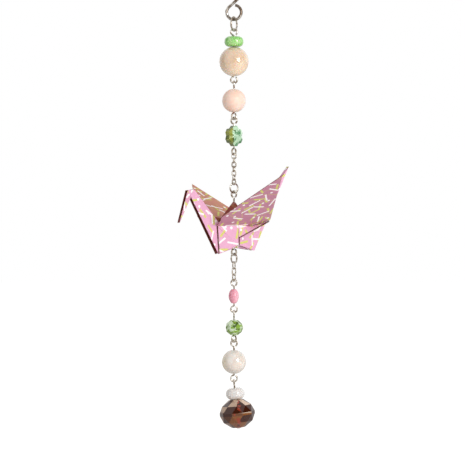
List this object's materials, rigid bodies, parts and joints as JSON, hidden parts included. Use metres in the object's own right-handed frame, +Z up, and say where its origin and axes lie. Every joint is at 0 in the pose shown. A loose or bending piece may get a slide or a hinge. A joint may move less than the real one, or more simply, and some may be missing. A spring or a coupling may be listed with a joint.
{
  "type": "hanging origami crane bead ornament",
  "caption": "Hanging ornament: an S-hook carries wired beads, fine chain, a folded paper crane and a faceted crystal dangle, all free to swing.",
  "frame": {"origin": "hanging seat: the inside top of the S-hook's upper loop, on the ornament's vertical axis", "axes": "+Z up along the hanging line; +X to the right seen from the front, along the plane of the S-hook; the front faces -Y"},
  "size_m": [0.0377, 0.0482, 0.1512],
  "materials": {
    "hook_steel": "bright polished wire",
    "silver_wire": "bright plated wire, slightly tarnished",
    "green_glass": "glossy translucent glass",
    "cream_glass": "milky glass, soft gloss",
    "peach_ceramic": "soft satin glaze",
    "mint_crystal": "cut glass with a rainbow coating",
    "crane_paper": "thin printed paper, matt, crisp folds",
    "pink_glass": "glossy translucent glass",
    "olive_crystal": "cut glass, clear and bright",
    "pale_agate": "polished pale stone with faint clouds",
    "clear_frosted": "frosted clear glass",
    "brown_crystal": "cut smoky glass, bright facets"
  },
  "bodies": {
    "s_hook": {"s_hook": "hook_steel"},
    "hook_ring": {"hook_ring": "silver_wire"},
    "green_rondelle": {"green_rondelle": "green_glass"},
    "cream_bead": {"cream_bead": "cream_glass"},
    "cream_pin": {"cream_pin": "silver_wire"},
    "peach_bead": {"peach_bead": "peach_ceramic"},
    "peach_pin": {"peach_pin": "silver_wire"},
    "flower_crystal": {"flower_crystal": "mint_crystal"},
    "flower_pin": {"flower_pin": "silver_wire"},
    "chain_link_1": {"chain_link_1": "silver_wire"},
    "chain_link_2": {"chain_link_2": "silver_wire"},
    "chain_link_3": {"chain_link_3": "silver_wire"},
    "chain_link_4": {"chain_link_4": "silver_wire"},
    "chain_link_5": {"chain_link_5": "silver_wire"},
    "chain_link_6": {"chain_link_6": "silver_wire"},
    "chain_link_7": {"chain_link_7": "silver_wire"},
    "crane_ring": {"crane_ring": "silver_wire"},
    "paper_crane": {"paper_crane": "crane_paper"},
    "crane_pin": {"crane_pin": "silver_wire"},
    "lower_ring": {"lower_ring": "silver_wire"},
    "lower_link_1": {"lower_link_1": "silver_wire"},
    "lower_link_2": {"lower_link_2": "silver_wire"},
    "lower_link_3": {"lower_link_3": "silver_wire"},
    "oval_bead": {"oval_bead": "pink_glass"},
    "oval_pin": {"oval_pin": "silver_wire"},
    "green_crystal": {"green_crystal": "olive_crystal"},
    "green_crystal_pin": {"green_crystal_pin": "silver_wire"},
    "pale_bead": {"pale_bead": "pale_agate"},
    "pale_pin": {"pale_pin": "silver_wire"},
    "clear_rondelle": {"clear_rondelle": "clear_frosted"},
    "brown_crystal": {"brown_crystal": "brown_crystal"},
    "head_pin": {"head_pin": "silver_wire"}
  },
  "joints": [
    {"name": "hook_ring_swing", "type": "hinge", "parent": "s_hook", "child": "hook_ring", "pos_m": [0, 0, -0.01112], "axis": [1, 0, 0], "range_deg": [-60, 60]},
    {"name": "cream_pin_swing", "type": "hinge", "parent": "hook_ring", "child": "cream_pin", "pos_m": [0, 0, -0.01495], "axis": [-0.4226, -0.9063, 0], "range_deg": [-60, 60]},
    {"name": "peach_pin_swing", "type": "hinge", "parent": "cream_pin", "child": "peach_pin", "pos_m": [0, 0, -0.03269], "axis": [1, 0, 0], "range_deg": [-60, 60]},
    {"name": "flower_pin_swing", "type": "hinge", "parent": "peach_pin", "child": "flower_pin", "pos_m": [0, 0, -0.04506], "axis": [-0.6691, -0.7431, 0], "range_deg": [-60, 60]},
    {"name": "chain_link_1_swing", "type": "hinge", "parent": "flower_pin", "child": "chain_link_1", "pos_m": [0, 0, -0.05708], "axis": [0.6157, 0.788, 0], "range_deg": [-60, 60]},
    {"name": "chain_link_2_swing", "type": "hinge", "parent": "chain_link_1", "child": "chain_link_2", "pos_m": [0, 0, -0.05845], "axis": [-0.9848, 0.1736, 0], "range_deg": [-60, 60]},
    {"name": "chain_link_3_swing", "type": "hinge", "parent": "chain_link_2", "child": "chain_link_3", "pos_m": [0, 0, -0.05992], "axis": [0.2419, 0.9703, 0], "range_deg": [-60, 60]},
    {"name": "chain_link_4_swing", "type": "hinge", "parent": "chain_link_3", "child": "chain_link_4", "pos_m": [0, 0, -0.06139], "axis": [0.9511, -0.309, 0], "range_deg": [-60, 60]},
    {"name": "chain_link_5_swing", "type": "hinge", "parent": "chain_link_4", "child": "chain_link_5", "pos_m": [0, 0, -0.06286], "axis": [-0.3746, -0.9272, 0], "range_deg": [-60, 60]},
    {"name": "chain_link_6_swing", "type": "hinge", "parent": "chain_link_5", "child": "chain_link_6", "pos_m": [0, 0, -0.06433], "axis": [-0.8988, 0.4384, 0], "range_deg": [-60, 60]},
    {"name": "chain_link_7_swing", "type": "hinge", "parent": "chain_link_6", "child": "chain_link_7", "pos_m": [0, 0, -0.0658], "axis": [0.5, 0.866, 0], "range_deg": [-60, 60]},
    {"name": "crane_ring_swing", "type": "hinge", "parent": "chain_link_7", "child": "crane_ring", "pos_m": [0, 0, -0.06727], "axis": [0.829, -0.5592, 0], "range_deg": [-60, 60]},
    {"name": "crane_pin_swing", "type": "hinge", "parent": "crane_ring", "child": "crane_pin", "pos_m": [0, 0, -0.07003], "axis": [0.788, 0.6157, 0], "range_deg": [-60, 60]},
    {"name": "lower_ring_swing", "type": "hinge", "parent": "crane_pin", "child": "lower_ring", "pos_m": [0, 0, -0.09126], "axis": [-0.7314, -0.682, 0], "range_deg": [-60, 60]},
    {"name": "lower_link_1_swing", "type": "hinge", "parent": "lower_ring", "child": "lower_link_1", "pos_m": [0, 0, -0.09398], "axis": [0.5592, -0.829, 0], "range_deg": [-60, 60]},
    {"name": "lower_link_2_swing", "type": "hinge", "parent": "lower_link_1", "child": "lower_link_2", "pos_m": [0, 0, -0.09597], "axis": [-0.5299, -0.848, 0], "range_deg": [-60, 60]},
    {"name": "lower_link_3_swing", "type": "hinge", "parent": "lower_link_2", "child": "lower_link_3", "pos_m": [0, 0, -0.09803], "axis": [-0.809, 0.5878, 0], "range_deg": [-60, 60]},
    {"name": "oval_pin_swing", "type": "hinge", "parent": "lower_link_3", "child": "oval_pin", "pos_m": [0, 0, -0.10009], "axis": [0.6428, 0.766, 0], "range_deg": [-60, 60]},
    {"name": "green_crystal_pin_swing", "type": "hinge", "parent": "oval_pin", "child": "green_crystal_pin", "pos_m": [0, 0, -0.11065], "axis": [1, 0, 0], "range_deg": [-60, 60]},
    {"name": "pale_pin_swing", "type": "hinge", "parent": "green_crystal_pin", "child": "pale_pin", "pos_m": [0, 0, -0.12077], "axis": [-0.6691, -0.7431, 0], "range_deg": [-60, 60]},
    {"name": "head_pin_swing", "type": "hinge", "parent": "pale_pin", "child": "head_pin", "pos_m": [0, 0, -0.13418], "axis": [1, 0, 0], "range_deg": [-60, 60]},
    {"name": "green_rondelle_spin", "type": "hinge", "parent": "cream_pin", "child": "green_rondelle", "pos_m": [0, 0, -0.01495], "axis": [0, 0, 1], "continuous": true},
    {"name": "cream_bead_spin", "type": "hinge", "parent": "cream_pin", "child": "cream_bead", "pos_m": [0, 0, -0.01495], "axis": [0, 0, 1], "continuous": true},
    {"name": "peach_bead_spin", "type": "hinge", "parent": "peach_pin", "child": "peach_bead", "pos_m": [0, 0, -0.03269], "axis": [0, 0, 1], "continuous": true},
    {"name": "flower_crystal_spin", "type": "hinge", "parent": "flower_pin", "child": "flower_crystal", "pos_m": [0, 0, -0.04506], "axis": [0, 0, 1], "continuous": true},
    {"name": "paper_crane_spin", "type": "hinge", "parent": "crane_pin", "child": "paper_crane", "pos_m": [0, 0, -0.07003], "axis": [0, 0, 1], "continuous": true},
    {"name": "oval_bead_spin", "type": "hinge", "parent": "oval_pin", "child": "oval_bead", "pos_m": [0, 0, -0.10009], "axis": [0, 0, 1], "continuous": true},
    {"name": "green_crystal_spin", "type": "hinge", "parent": "green_crystal_pin", "child": "green_crystal", "pos_m": [0, 0, -0.11065], "axis": [0, 0, 1], "continuous": true},
    {"name": "pale_bead_spin", "type": "hinge", "parent": "pale_pin", "child": "pale_bead", "pos_m": [0, 0, -0.12077], "axis": [0, 0, 1], "continuous": true},
    {"name": "clear_rondelle_spin", "type": "hinge", "parent": "head_pin", "child": "clear_rondelle", "pos_m": [0, 0, -0.13418], "axis": [-0.1045, 0, 0.9945], "continuous": true},
    {"name": "brown_crystal_spin", "type": "hinge", "parent": "head_pin", "child": "brown_crystal", "pos_m": [0, 0, -0.13418], "axis": [-0.1045, 0, 0.9945], "continuous": true}
  ]
}
